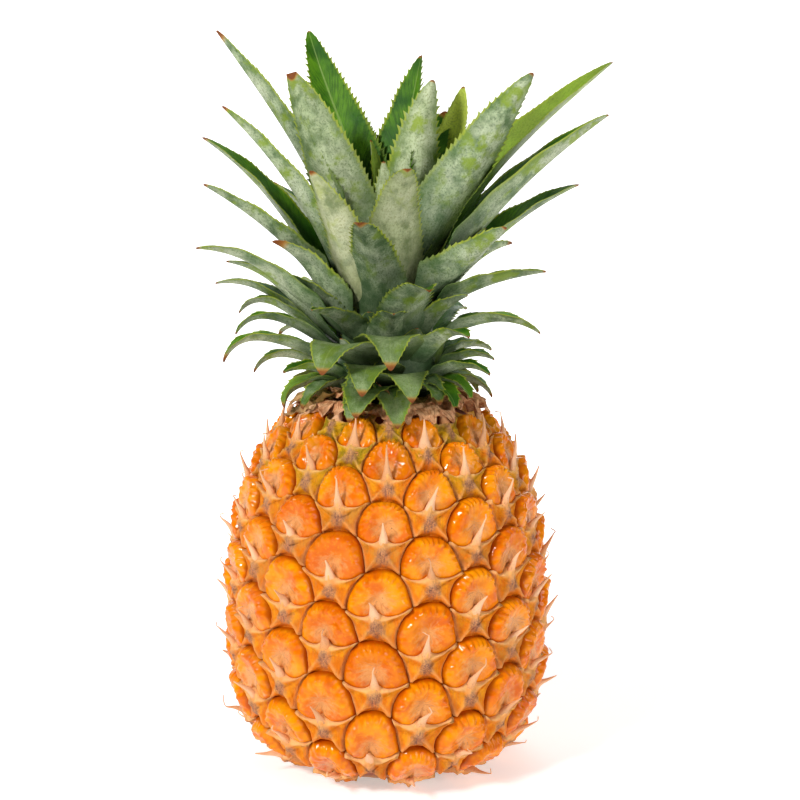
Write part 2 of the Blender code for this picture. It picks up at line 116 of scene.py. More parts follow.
def fruit_points(column, row, rise):
    """Places on the fruit from columns and rows, which stray a little from a regular lattice."""
    turn = column * TAU / COLUMNS
    across = two_waves(ACROSS_WAVES, turn, row)
    row = row + STRAY_DOWN * two_waves(DOWN_WAVES, turn, row)
    angle = FRONT_ANGLE + (column + STRAY_ACROSS * across) * TAU / COLUMNS + row * ROW_DRIFT
    length = ROW_ZERO - ROW_PITCH * row - ROW_STRETCH * row * row
    from_end = np.minimum((length - LOWEST_POINT) / LOWER_FADE, (SIDE_LENGTH - length) / UPPER_FADE)
    radius, height = on_side(length, rise * np.clip(from_end, 0, 1))
    return np.stack(placed(angle, radius, height), -1)


def eye_places(seed, first, last):
    """Column, row and thorn of the eyes between two rows, drawn in the same order as in the solids."""
    draw = random.Random(seed)
    eyes = []
    for column in range(COLUMNS):
        row = column * COLUMN_SHIFT
        row -= math.floor(row - first)
        while row <= last:
            thorn = [draw.uniform(*span) for span in (THORN_TIP_ACROSS, THORN_TIP_DOWN, THORN_RISE)]
            eyes.append((column, row, *thorn))
            row += 1
    return np.array(eyes)


# The solids' own eyes, with stunted ones that close the gaps at both ends of the fruit
EYES = np.vstack((eye_places(SEED, FIRST_ROW, LAST_ROW), eye_places(SEED + 5, LAST_ROW, LOWEST_ROW)))
BRACTS = np.vstack((EYES, eye_places(SEED + 5, FIRST_ROW - 1, FIRST_ROW)))


def wobble(points, size, draw, waves=14):
    """A smooth random field with bumps about as wide as size, mostly within 1.5 of 0."""
    directions = draw.normal(size=(waves, points.shape[-1])) * (TAU / size / 1.7)
    phases = draw.uniform(0, TAU, waves)
    return np.sin(points @ directions.T + phases).sum(-1) * math.sqrt(2 / waves)


def smooth_step(low, high, value):
    share = np.clip((value - low) / (high - low), 0, 1)
    return share * share * (3 - 2 * share)


def bell(value, middle, width):
    return np.exp(-((value - middle) / width) ** 2)


def through(points, count):
    """Places along a smooth curve through the points, its last one left out."""
    points = np.array(points, float)
    ends = np.vstack((2 * points[0] - points[1], points, 2 * points[-1] - points[-2]))
    where = np.arange(count) * (len(points) - 1) / count
    low = where.astype(int)
    t = (where - low)[:, None]
    a, b, c, d = (ends[low + k] for k in range(4))
    square, cube = 2 * a - 5 * b + 4 * c - d, 3 * b - a - 3 * c + d
    return 0.5 * (2 * b + (c - a) * t + square * t ** 2 + cube * t ** 3)


# An eye's outline in columns across and rows down from its middle, leaning a little to the right; each
# curve runs clockwise as seen from outside and is shared with a neighbour
TOP_LEFT = (-0.32, -0.34)
TOP_RIGHT = (0.42, -0.27)
WING_RIGHT = (1 + TOP_LEFT[0], COLUMN_SHIFT + TOP_LEFT[1])
WING_LEFT = (TOP_RIGHT[0] - 1, 1 - COLUMN_SHIFT + TOP_RIGHT[1])
SPIKE_ROOT = (0, 0.19)
DOME_MIDDLE = (0.02, -0.04)
BRACT_MIDDLE = (0.02, 0.46)
TOP_POINTS = (TOP_LEFT, (-0.15, -0.372), (0.06, -0.38), (0.27, -0.345), TOP_RIGHT)
RIGHT_POINTS = (TOP_RIGHT, (0.53, -0.14), (0.605, 0.02), (0.65, 0.11), WING_RIGHT)
FOOT_POINTS = (WING_RIGHT, (0.46, 0.275), (0.22, 0.295), (0.07, 0.245), SPIKE_ROOT,
               (-0.07, 0.245), (-0.2, 0.295), (-0.4, 0.28), WING_LEFT)
LEFT_POINTS = (WING_LEFT, (-0.595, 0.1), (-0.575, -0.03), (-0.47, -0.21), TOP_LEFT)
OVER, RIGHT, BELOW, LEFT = range(4)

# Steps along the top, right, foot and left of each outline
DOME_STEPS = (26, 22, 22, 22)
BRACT_STEPS = (14, 12, 22, 12)


def outline_edges(steps):
    """The dome's four edges from its upper left corner, clockwise, each without its last point."""
    edges = (TOP_POINTS, RIGHT_POINTS, FOOT_POINTS, LEFT_POINTS)
    return [through(points, count) for points, count in zip(edges, steps)]


def bract_outline():
    """Round the bract from the dome's left wing over its foot, then down the neighbours' edges."""
    top, right_edge, foot, left_edge = outline_edges(BRACT_STEPS)

    def backwards(edge, closing, shift):
        return np.vstack((edge, closing))[::-1][:-1] + shift

    over = backwards(foot, WING_LEFT, (0, 0))
    right = backwards(left_edge, TOP_LEFT, (1, COLUMN_SHIFT))
    below = backwards(top, TOP_RIGHT, (0, 1))
    left = backwards(right_edge, WING_RIGHT, (-1, 1 - COLUMN_SHIFT))
    kinds = np.repeat((OVER, RIGHT, BELOW, LEFT), (len(over), len(right), len(below), len(left)))
    return np.vstack((over, right, below, left)), kinds


def ring_faces(here, there, around):
    """Triangles between two rings of points."""
    index = np.arange(around)
    after = (index + 1) % around
    a, b, c, d = here + index, there + index, there + after, here + after
    return np.vstack((np.stack((a, b, c), -1), np.stack((a, c, d), -1)))


def fan_faces(rings, around):
    """Triangles of a centre point followed by rings of points round it."""
    index = np.arange(around)
    first = np.stack((np.zeros(around, int), 1 + index, 1 + (index + 1) % around), -1)
    between = [ring_faces(1 + ring * around, 1 + (ring + 1) * around, around) for ring in range(rings - 1)]
    return np.vstack([first] + between)


def tube_faces(sections, around):
    """Triangles round a row of closed sections, split alike on both faces of a blade, and its two ends."""
    index = np.arange(around)
    after = (index + 1) % around
    mirrored = index >= around // 2
    faces = []
    for here in np.arange(sections - 1) * around:
        a, b, c, d = here + index, here + after, here + around + after, here + around + index
        faces += [np.where(mirrored, (a, b, d), (a, b, c)).T, np.where(mirrored, (b, c, d), (a, c, d)).T]
    inside = np.arange(1, around - 1)
    start = np.zeros_like(inside)
    last = (sections - 1) * around
    ends = [np.stack((start, inside + 1, inside), -1), np.stack((start, inside, inside + 1), -1) + last]
    return np.vstack(faces + ends)


def new_object(name, data):
    item = bpy.data.objects.new(name, data)
    bpy.context.scene.collection.objects.link(item)
    return item


class Shape:
    """Points, faces and named fields of a piece, gathered part by part."""

    def __init__(self):
        self.points, self.faces, self.fields, self.count = [], [], {}, 0

    def add(self, points, faces, **fields):
        points = points.reshape(-1, 3)
        points[:, 2] = np.maximum(points[:, 2], 0)
        self.points.append(points)
        self.faces.append(faces + self.count)
        for name, values in fields.items():
            values = np.asarray(values, float)
            full = np.full(len(points), values) if values.ndim == 0 else values.reshape(-1)
            self.fields.setdefault(name, []).append(full)
        self.count += len(points)

    def make(self, name, surface, sharp=180):
        data = bpy.data.meshes.new(name)
        data.from_pydata(np.vstack(self.points) * MM, [], np.vstack(self.faces))
        for field, values in self.fields.items():
            layer = data.attributes.new(field, "FLOAT", "POINT")
            layer.data.foreach_set("value", np.concatenate(values).astype(np.float32))
        data.shade_smooth()
        if sharp < 180:
            data.set_sharp_from_angle(angle=math.radians(sharp))
        data.materials.append(surface)
        return new_object(name, data)


def turned(outline, around):
    """Points and faces of an outline of radius and height, bottom first, turned about the axis."""
    outline = np.array(outline)
    angle = np.arange(around) * TAU / around
    points = np.stack(placed(angle, outline[:, :1], np.repeat(outline[:, 1:], around, 1)), -1)
    faces = [ring_faces((ring + 1) * around, ring * around, around) for ring in range(len(outline) - 1)]
    return points, np.vstack(faces)


# Each surface's paints as they look on a screen
PAINTS = {
    "dome": {"deep": 0xdc6800, "bright": 0xf49200, "dark": 0xce5800, "gold": 0xfaac00, "rim": 0x963800,
        "olive": 0xc48404, "heart": 0xe29e5c, "strand": 0xb25c22, "fleck": 0x74422a},
    "bract": {"deep": 0xe07400, "bright": 0xf69e12, "under": 0xe67800, "yellow": 0xdcaa0e,
        "olive": 0x96820a, "vein": 0xd68842, "fold": 0xf6bc76, "dusk": 0xc48a6c, "speckle": 0x744e48,
        "dull": 0xa66c42, "lip": 0xfcc684},
    "spike": {"foot": 0xeea25c, "thread": 0xecbc92, "speckle": 0x8c5c42, "tan": 0xc4844e},
    "body": {"dark": 0x602202, "light": 0x963e06, "base dark": 0x6e4422, "base tan": 0xb88652},
    # The leaf's root paint darkens its base, partly with painted shade, its outer root paint does so on the
    # outer face, and its shade paint is painted shade; its warm lime is partly painted light.
    "leaf": {"deep": 0x285c06, "fresh": 0x609216, "feather": 0x1e4606, "rib": 0x96b060, "root": 0x122e06,
        "shade": 0x283e1e, "warm": 0xd6e660, "pale": 0xd8d0a0, "edge": 0xa0ac30, "dry": 0xaa7830,
        "burnt": 0x7a4216, "outer thin": 0x5c744c, "outer thick": 0xb0be96, "outer white": 0xc6ccae,
        "outer grain": 0x4e6a3c, "outer speck": 0x485c36, "outer lime": 0x7c941e, "outer side": 0x4c702a,
        "outer root": 0x385230},
    "scale": {"dark": 0xb87a50, "light": 0xecb88a, "vein": 0x7c4c2e, "olive": 0x8c803c, "root": 0x54301a},
    "stalk": {"dark": 0x785430, "light": 0xceb07a, "rim": 0x684224},
    "paper": {"white": 0xf6f6f6},
}


def linear(paint):
    """A paint's colour as a shader reads it."""
    channels = [channel / 255 for channel in paint.to_bytes(3, "big")]
    return [c / 12.92 if c < 0.04045 else ((c + 0.055) / 1.055) ** 2.4 for c in channels] + [1]


class Surface:
    """A node material whose colour is laid on coat by coat, guided by a piece's fields and by noise."""

    def __init__(self, name, family):
        self.paints = PAINTS[family]
        self.material = bpy.data.materials.new(name)
        self.material.use_nodes = True
        self.tree = self.material.node_tree
        self.shader = self.tree.nodes["Principled BSDF"]
        self.place = self.node("TexCoord").outputs["Object"]
        self.colour = None

    def feed(self, node, inputs):
        """Gives a node's inputs their links, paints or constants."""
        for name, value in inputs.items():
            if isinstance(value, bpy.types.NodeSocket):
                self.tree.links.new(value, node.inputs[name])
                continue
            node.inputs[name].default_value = linear(self.paints[value]) if isinstance(value, str) else value

    def node(self, kind, inputs=(), **settings):
        made = self.tree.nodes.new("ShaderNode" + kind)
        for name, value in settings.items():
            setattr(made, name, value)
        self.feed(made, dict(inputs))
        return made

    def fields(self, names):
        named = [self.node("Attribute", attribute_name=name) for name in names.split()]
        return [node.outputs["Fac"] for node in named]

    def math(self, kind, a, b=0):
        return self.node("Math", {0: a, 1: b}, operation=kind).outputs[0]

    def times(self, a, b):
        return self.math("MULTIPLY", a, b)

    def plus(self, a, b):
        return self.math("ADD", a, b)

    def span(self, value, low, high, end=1, start=0):
        """The value carried smoothly from start to end as it goes from low to high."""
        inputs = {"Value": value, "From Min": low, "From Max": high, "To Min": start, "To Max": end}
        return self.node("MapRange", inputs, interpolation_type="SMOOTHSTEP").outputs["Result"]

    def noise(self, size, detail=4, rough=0.55, where=None):
        """Noise with features about as wide as size: in millimetres, or in where's own units."""
        place, scale = (self.place, 1 / (size * MM)) if where is None else (where, 1 / size)
        inputs = {"Vector": place, "Scale": scale, "Detail": detail, "Roughness": rough}
        return self.node("TexNoise", inputs).outputs["Fac"]

    def joined(self, x, y, z):
        return self.node("CombineXYZ", {0: x, 1: y, 2: z}).outputs[0]

    def mix(self, share, a, b):
        return self.node("Mix", {0: share, 6: a, 7: b}, data_type="RGBA").outputs[2]

    def coat(self, share, paint):
        """Lays a paint over the colour so far, as thickly as the share says."""
        self.colour = self.mix(share, self.colour, paint)

    def bump(self, height, strength, distance):
        inputs = {"Height": height, "Strength": strength, "Distance": distance * MM}
        self.feed(self.shader, {"Normal": self.node("Bump", inputs).outputs[0]})

    def finish(self, roughness, gloss=0.5):
        """The material, with its colour, its roughness and the strength of its shine."""
        inputs = {"Base Color": self.colour, "Roughness": roughness, "Specular IOR Level": gloss}
        self.feed(self.shader, inputs)
        return self.material


# How far apart the eyes, leaves and scales take their own noise
OWN_NOISE = 40


def dome_surface():
    """Glossy orange, darker round the rim, with a pale downy middle streaked and flecked with brown."""
    s = Surface("eye_dome", "dome")
    middle, ring, own, low, east, north = s.fields("middle ring own low east north")
    cloud, mottle, fine = s.noise(6, 3), s.noise(1.5, 4, 0.65), s.noise(0.5, 4, 0.7)
    apart = s.plus(s.times(ring, 0.5), s.times(own, OWN_NOISE))
    strand = s.noise(0.22, 3, 0.6, s.joined(east, north, apart))
    s.colour = s.mix(s.span(cloud, 0.34, 0.66), "deep", "bright")
    s.coat(s.span(own, 0.5, 1, 0.6), "dark")
    s.coat(s.span(mottle, 0.5, 0.75, 0.35), "gold")
    s.coat(s.span(ring, 0.85, 1, 0.8), "rim")
    s.coat(s.times(s.span(low, 0.9, -0.5, 0.6), s.span(s.noise(7, 2), 0.42, 0.62)), "olive")
    ragged = s.plus(s.times(s.plus(mottle, -0.5), 0.9), s.times(s.plus(strand, -0.5), 0.9))
    s.coat(s.span(s.plus(middle, ragged), 0.28, 0.95, 0.95), "heart")
    s.coat(s.times(s.span(strand, 0.5, 0.68), s.span(middle, 0.2, 0.8, 0.55)), "strand")
    s.coat(s.times(s.span(fine, 0.56, 0.72), s.span(middle, 0.55, 1, 0.85)), "fleck")
    downy = s.times(s.plus(fine, s.times(strand, 2)), s.span(middle, 0.1, 0.8))
    s.bump(s.plus(s.noise(1.6, 1), downy), 0.3, 0.3)
    return s.finish(s.span(mottle, 0.3, 0.7, 0.14, start=0.06), 0.24)


def bract_surface():
    """Peach folds and lips, purple-brown mottling below the spike, olive at the fruit's top."""
    s = Surface("eye_bract", "bract")
    lip, under, band, fold, low, own, x, y = s.fields("lip under band fold low own x y")
    cloud, fine = s.noise(3.2, 4), s.noise(0.45, 5, 0.75)
    vein = s.noise(0.6, 4, 0.65, s.joined(x, s.times(y, 0.22), s.times(own, OWN_NOISE)))
    s.colour = s.mix(s.span(cloud, 0.34, 0.66), "deep", "bright")
    s.coat(s.span(under, 0.1, 0.7, 0.9), "under")
    unripe = s.times(s.span(low, 1.3, -0.3, 0.95), s.span(s.plus(own, s.times(cloud, 0.8)), 0.45, 1))
    s.coat(unripe, s.mix(s.span(cloud, 0.4, 0.6), "yellow", "olive"))
    s.coat(s.span(vein, 0.46, 0.66, 0.35), "vein")
    s.coat(s.span(fold, 0.3, 0.95, 0.7), "fold")
    dusk = s.span(s.plus(band, s.times(s.plus(cloud, -0.5), 1.3)), 0.2, 0.9)
    speckle = s.span(s.plus(s.times(fine, 0.6), s.times(vein, 0.4)), 0.4, 0.62, 0.9)
    s.coat(s.times(dusk, 0.6), "dusk")
    s.coat(s.times(dusk, speckle), "speckle")
    s.coat(s.times(s.span(own, 0.72, 1, 0.4), s.span(cloud, 0.35, 0.6)), "dull")
    s.coat(s.times(lip, 0.8), "lip")
    s.bump(s.plus(fine, s.plus(s.times(s.noise(1.6, 4), 1.3), s.times(vein, 1.4))), 0.7, 0.5)
    return s.finish(s.span(fine, 0.3, 0.7, 0.62, start=0.42), 0.14)


def spike_surface():
    """Peach flesh at the foot, pale and dry towards the thread."""
    s = Surface("bract_spike", "spike")
    along, own = s.fields("along own")
    fine = s.noise(0.5, 4, 0.7)
    s.colour = s.mix(s.span(along, 0.1, 0.5), "foot", "thread")
    s.coat(s.times(s.span(fine, 0.48, 0.68), s.span(along, 0.6, 0, 0.8, start=0.1)), "speckle")
    s.coat(s.span(own, 0.5, 1, 0.55), "tan")
    s.bump(fine, 0.4, 0.2)
    return s.finish(0.55, 0.2)


def body_surface():
    """Dark red-brown in the creases, leathery and tan under the fruit."""
    s = Surface("crease_body", "body")
    cloud = s.noise(2.5, 5, 0.65)
    s.colour = s.mix(cloud, "dark", "light")
    s.coat(s.fields("base")[0], s.mix(s.span(cloud, 0.35, 0.65), "base dark", "base tan"))
    s.bump(cloud, 0.6, 0.5)
    return s.finish(0.6)


def leaf_surface():
    """Green and feathered inside, pale and mottled outside, with lime edges and small dry tips; darker at
    the roots partly by painted shade, with painted shade on leaves set low and painted light on lime ones.
    """
    s = Surface("crown_leaf", "leaf")
    names = "along length across inner own dry warm pale deep"
    along, length, across, inner, own, dry, warm, pale, deep = s.fields(names)
    side = s.math("ABSOLUTE", across)
    apart = s.times(own, OWN_NOISE)
    blotch, patch, speck = s.noise(4.5, 5, 0.62), s.noise(12, 3, 0.5), s.noise(0.6, 4, 0.7)
    grain = s.noise(0.5, 4, 0.6, s.joined(s.times(across, 8), s.times(length, 0.09), apart))
    slant = s.plus(s.times(side, 7.3), s.times(length, -0.58))
    lean = s.plus(s.times(side, 5.2), s.times(length, 0.81))
    feather = s.noise(1, 3, 0.6, s.joined(s.times(slant, 1.5), s.times(lean, 0.16), apart))
    s.colour = s.mix(s.span(patch, 0.34, 0.66), "deep", "fresh")
    s.coat(s.span(feather, 0.4, 0.66, 0.6), "feather")
    s.coat(s.span(side, 0.09, 0, 0.55), "rib")
    # Darker towards the root: partly the leaf's own colour, partly painted shade where the leaves crowd.
    s.coat(s.span(along, 0.45, 0.05, 0.75), "root")
    inner_face = s.colour
    s.colour = s.mix(s.span(blotch, 0.36, 0.64), "outer thin", "outer thick")
    s.coat(s.span(patch, 0.4, 0.62, 0.55), "outer white")
    s.coat(s.span(grain, 0.48, 0.7, 0.25), "outer grain")
    s.coat(s.times(s.span(speck, 0.5, 0.62), 0.6), "outer speck")
    lime = s.times(s.span(s.noise(7, 4, 0.6), 0.5, 0.64), s.span(along, 0.15, 0.6, 0.85, start=0.2))
    s.coat(lime, "outer lime")
    s.coat(s.times(s.span(side, 0.55, 0.95), 0.5), "outer side")
    # The outer face darker towards the root as well: partly its own colour, partly painted shade.
    s.coat(s.span(along, 0.55, 0.08, 0.8), "outer root")
    s.coat(inner, inner_face)
    # Painted shade, as strong as the leaf's deep field, on leaves set low in the crown or behind others.
    s.coat(s.times(deep, s.span(blotch, 0.7, 0.3, start=0.6)), "shade")
    # Yellow-lime, partly the blade's own colour and partly painted light, most on leaf 10.
    s.coat(s.times(warm, s.span(speck, 0.34, 0.58, start=0.6)), "warm")
    s.coat(s.times(pale, s.span(blotch, 0.3, 0.6, start=0.4)), "pale")
    s.coat(s.times(s.span(side, 0.88, 0.97), s.span(along, 0.2, 0.7, 0.75)), "edge")
    burnt = s.span(s.plus(dry, s.times(s.plus(blotch, -0.5), 0.6)), 0.35, 0.9)
    s.coat(burnt, s.mix(s.span(dry, 0.6, 1), "dry", "burnt"))
    s.bump(s.plus(grain, s.times(speck, 0.8)), 0.6, 0.35)
    return s.finish(s.span(speck, 0.3, 0.7, 0.6, start=0.42), 0.22)


def scale_surface():
    """Pink-brown with darker veins, here and there still olive."""
    s = Surface("papery_scale", "scale")
    along, across, own = s.fields("along across own")
    cloud = s.noise(2.4, 5, 0.65)
    own_place = s.joined(s.times(across, 3), s.times(along, 1.2), s.times(own, OWN_NOISE))
    vein = s.noise(0.5, 4, 0.65, own_place)
    s.colour = s.mix(s.span(cloud, 0.34, 0.66), "dark", "light")
    s.coat(s.span(vein, 0.46, 0.64, 0.6), "vein")
    s.coat(s.span(own, 0.62, 0.9, 0.75), "olive")
    s.coat(s.span(along, 0.3, 0, 0.7), "root")
    s.bump(s.plus(vein, cloud), 0.6, 0.4)
    return s.finish(0.75, 0.15)


def stalk_surface():
    """Pale fibrous pith with brown fibre ends and a dried rim."""
    s = Surface("stalk_fibre", "stalk")
    fibre = s.noise(0.7, 4, 0.7)
    s.colour = s.mix(s.span(fibre, 0.4, 0.62), "dark", "light")
    s.coat(s.span(s.fields("rim")[0], 0.7, 1), "rim")
    s.bump(fibre, 0.8, 0.5)
    return s.finish(0.8)


# Rings of an eye's parts, as shares of the way from their middle to their edge
DOME_RINGS = np.array((0.14, 0.28, 0.41, 0.53, 0.63, 0.72, 0.8, 0.87, 0.925, 0.965, 1, 1.012, 0.99))
DOME_EDGE_RISES = (0.45, -0.25, -1.4)
BRACT_RINGS = np.array((0.16, 0.32, 0.47, 0.6, 0.71, 0.8, 0.87, 0.93, 0.97, 1, 1))
SKIRT_DEPTH = 1.4

# A dome's cushion, its swollen ring, the ring's lobes and the sunken middle. Heights are in millimetres,
# the ring's and lobes' places and widths in shares of the way out, the middle's in columns and rows.
DOME_RISE = 3.1
DOME_SWELL = (0.94, 1.08)
DOME_POWER = 4.2
RING_PLACE = (0.66, 0.18)
LOBE_PLACE = (0.8, 0.15)
LOBE_COUNT = (16, 21)
LOBE_RISE = (0.4, 0.72)
LOBE_BELOW = 0.15
LOBE_LAST_ROWS = (5.2, 4.2)
SINK_ACROSS = (-0.05, 0.07)
SINK_DOWN = (0, 0.08)
SINK_SPREAD = (0.3, 0.18)
SINK_DEPTH = (1.3, 2.1)
FOOT_SLOPE = 4
ROUGH_RISE = 0.16
ROUGH_SIZE = 2.4
TILT = (-0.5, 0.5)
HEART_SHARE = (0.8, 1.15)
HEART_SPREAD = (0.34, 0.22)
HEART_DROP = 0.04
HEART_POWER = 2.2


def template(outline, rings, middle):
    """An eye part's centre and rings in columns and rows, with the share of the way out."""
    middle = np.array(middle)
    spread = middle + rings[:, None, None] * (outline - middle)
    flat = np.vstack((middle[None], spread.reshape(-1, 2)))
    share = np.concatenate(((0,), np.repeat(rings, len(outline))))
    return flat, share


def from_middle(u, v, spread):
    """Distance from a middle in parts of a spread across and down."""
    return np.hypot(u / spread[0], v / spread[1])


def add_domes():
    """Every eye's dome: a rounded cushion with a lobed ring, sunken in its middle and open below."""
    draw = np.random.default_rng(SEED)
    outline = np.vstack(outline_edges(DOME_STEPS))
    flat, share = template(outline, DOME_RINGS, DOME_MIDDLE)
    around = len(outline)
    faces = fan_faces(len(DOME_RINGS), around)
    u, v = flat[:, 0], flat[:, 1]
    turn = np.arctan2(-(v - DOME_MIDDLE[1]) * ROW_PITCH, (u - DOME_MIDDLE[0]) * COLUMN_WIDTH)
    above = smooth_step(-0.75, 0.3, np.sin(turn))
    inside = np.minimum(share, 1)
    cushion = DOME_RISE * np.clip(1 - share ** DOME_POWER, 0, 1) ** 0.5
    ring = bell(share, *RING_PLACE) * above
    lobe_reach = bell(share, *LOBE_PLACE) * (LOBE_BELOW + (1 - LOBE_BELOW) * above)
    foot = -FOOT_SLOPE * np.clip(v, 0, 1) * (1 - share ** 8)
    halves = (Shape(), Shape())
    for column, row, *_ in EYES:
        swell = draw.uniform(*DOME_SWELL)
        lobes = draw.integers(*LOBE_COUNT)
        lobe_turn = lobes * turn + 1.2 * np.sin(3 * turn + draw.uniform(0, TAU)) + draw.uniform(0, TAU)
        sink_u, sink_v = draw.uniform(*SINK_ACROSS), draw.uniform(*SINK_DOWN)
        patchy = 0.8 + 0.2 * np.sin(2 * turn + draw.uniform(0, TAU))
        lobe_rise = draw.uniform(*LOBE_RISE) * smooth_step(*LOBE_LAST_ROWS, row)
        lobed = lobe_rise * np.cos(lobe_turn) * lobe_reach * patchy
        sink = -draw.uniform(*SINK_DEPTH) * np.exp(-from_middle(u - sink_u, v - sink_v, SINK_SPREAD) ** 2)
        apart = np.full_like(u, 31 * column + 17 * row)
        own_place = np.stack((u * COLUMN_WIDTH, v * ROW_PITCH, apart), -1)
        rough = ROUGH_RISE * wobble(own_place, ROUGH_SIZE, draw) * (1 - inside ** 6)
        tilt = draw.uniform(*TILT) * u * (1 - inside ** 4)
        rise = np.maximum(swell * cushion + ring + lobed + sink + foot + rough + tilt, 0.2)
        rise[-3 * around:] = np.repeat(DOME_EDGE_RISES, around)
        from_heart = from_middle(u - sink_u, v - sink_v - HEART_DROP, HEART_SPREAD)
        middle = draw.uniform(*HEART_SHARE) * np.exp(-from_heart ** HEART_POWER)
        front = math.cos(FRONT_ANGLE + column * TAU / COLUMNS) > 0
        places = fruit_points(column + u, row + v, rise)
        halves[0 if front else 1].add(places, faces, middle=middle, ring=share, own=draw.uniform(),
                                      low=row + v, east=np.cos(turn), north=np.sin(turn))
    surface = dome_surface()
    return [half.make(name, surface) for half, name in zip(halves, ("eye_domes_front", "eye_domes_back"))]


def to_line(u, v, start, end):
    """Distance in millimetres from places on an eye to a straight fold, and how far along it they lie."""
    a = np.array((start[0] * COLUMN_WIDTH, start[1] * ROW_PITCH))
    b = np.array((end[0] * COLUMN_WIDTH, end[1] * ROW_PITCH))
    place = np.stack((u * COLUMN_WIDTH, v * ROW_PITCH), -1)
    share = np.clip((place - a) @ (b - a) / ((b - a) @ (b - a)), 0, 1)
    return np.linalg.norm(place - a - share[:, None] * (b - a), axis=1), share


# A bract's folds: the spike's by height, half width and power, and the corners' by half width and power,
# each corner with its own height. The bract's edges sink over a width by a share.
BRACT_RISE = 0.95
FOLDS_MEET = (0, 0.36)
SPIKE_FOLD_FOOT = (0, 0.46)
SPIKE_FOLD = (2.1, 1.7, 1.4)
CORNER_FOLD = (1.1, 1.3)
CORNERS = ((WING_RIGHT, 1.35), (WING_LEFT, 1.35), ((0.4, 0.7), 1.3), ((-0.3, 0.64), 1.3))
EDGE_DROPS = {OVER: (0.35, 0.45), RIGHT: (0.7, 0.92), LEFT: (0.7, 0.92), BELOW: (1.6, 1)}
MIDDLE_EDGE = 9
WING_TIP_RISE = 0.6
CRUMPLES = ((0.17, 2.6), (0.1, 1.1))
OVERLAP = 0.022


def bract_fold(u, v):
    """How high a bract's folds stand, the spike's rising towards its root."""
    to_spike, up_spike = to_line(u, v, SPIKE_FOLD_FOOT, SPIKE_ROOT)
    height, width, power = SPIKE_FOLD
    folds = [height * np.exp(-(to_spike / width) ** power) * (0.45 + 0.55 * up_spike)]
    width, power = CORNER_FOLD
    for corner, height in CORNERS:
        folds.append(height * np.exp(-(to_line(u, v, FOLDS_MEET, corner)[0] / width) ** power))
    return sum(part ** 3 for part in folds) ** (1 / 3)


def add_bracts():
    """Every eye's bract: a folded star between four domes, its lip over the dome above it."""
    draw = np.random.default_rng(SEED + 11)
    outline, kinds = bract_outline()
    flat, share = template(outline, BRACT_RINGS, BRACT_MIDDLE)
    kind = np.concatenate(((-1,), np.tile(kinds, len(BRACT_RINGS))))
    skirt = np.zeros(len(flat), bool)
    skirt[-len(outline):] = True
    faces = fan_faces(len(BRACT_RINGS), len(outline))
    u, v = flat[:, 0], flat[:, 1]
    fold = bract_fold(u, v)
    radius = np.hypot(outline[:, 0] * COLUMN_WIDTH, (outline[:, 1] - BRACT_MIDDLE[1]) * ROW_PITCH)
    from_edge = np.concatenate(((MIDDLE_EDGE,), ((1 - BRACT_RINGS[:, None]) * radius).ravel()))
    over = kind == OVER
    side = (kind == RIGHT) | (kind == LEFT)
    drop = np.zeros(len(flat))
    for edge, (width, part) in EDGE_DROPS.items():
        drop = np.where(kind == edge, smooth_step(width, 0, from_edge) * part, drop)
    to_wing = np.minimum(*(np.hypot((u - wing[0]) * COLUMN_WIDTH, (v - wing[1]) * ROW_PITCH)
                           for wing in (WING_RIGHT, WING_LEFT)))
    wing_tip = bell(to_wing, 0, 2.2)
    lip = np.where(over, bell(from_edge, 0.1, 0.7), np.where(side, 0.7 * bell(from_edge, 0.1, 0.5), 0))
    under = np.clip(smooth_step(0.5, 0.6, v) + 0.6 * side * smooth_step(2.6, 0.8, from_edge), 0, 1)
    band = np.exp(-((u - 0.02) / 0.17) ** 2 - ((v - 0.45) / 0.14) ** 2)
    overlap = np.where(over & ~skirt, -OVERLAP * share ** 4, 0)
    x, y = u * COLUMN_WIDTH, v * ROW_PITCH
    shape = Shape()
    for column, row, *_ in BRACTS:
        own_place = np.stack((x, y, np.full_like(u, 13 * column + 29 * row)), -1)
        crumple = sum(height * wobble(own_place, size, draw) for height, size in CRUMPLES)
        rise = (BRACT_RISE + fold + crumple) * (1 - drop) + WING_TIP_RISE * wing_tip * draw.uniform(0.5, 1.5)
        rise = np.where(skirt, -SKIRT_DEPTH, np.maximum(rise, -0.4))
        shape.add(fruit_points(column + u, row + v + overlap, rise), faces, lip=lip, under=under, band=band,
                  fold=fold / 2, low=row + v, own=draw.uniform(), x=x, y=y)
    return shape.make("eye_bracts", bract_surface())


# A spike's sections and points round it, its least and full half widths and half depths, and how much
# wider the topmost ones are
SPIKE_SECTIONS = 20
SPIKE_AROUND = 10
SPIKE_WIDTH = (0.2, 2.4)
SPIKE_DEPTH = (0.16, 1.7)
SPIKE_WIDER = 0.9
THREAD_SHARE = 0.6


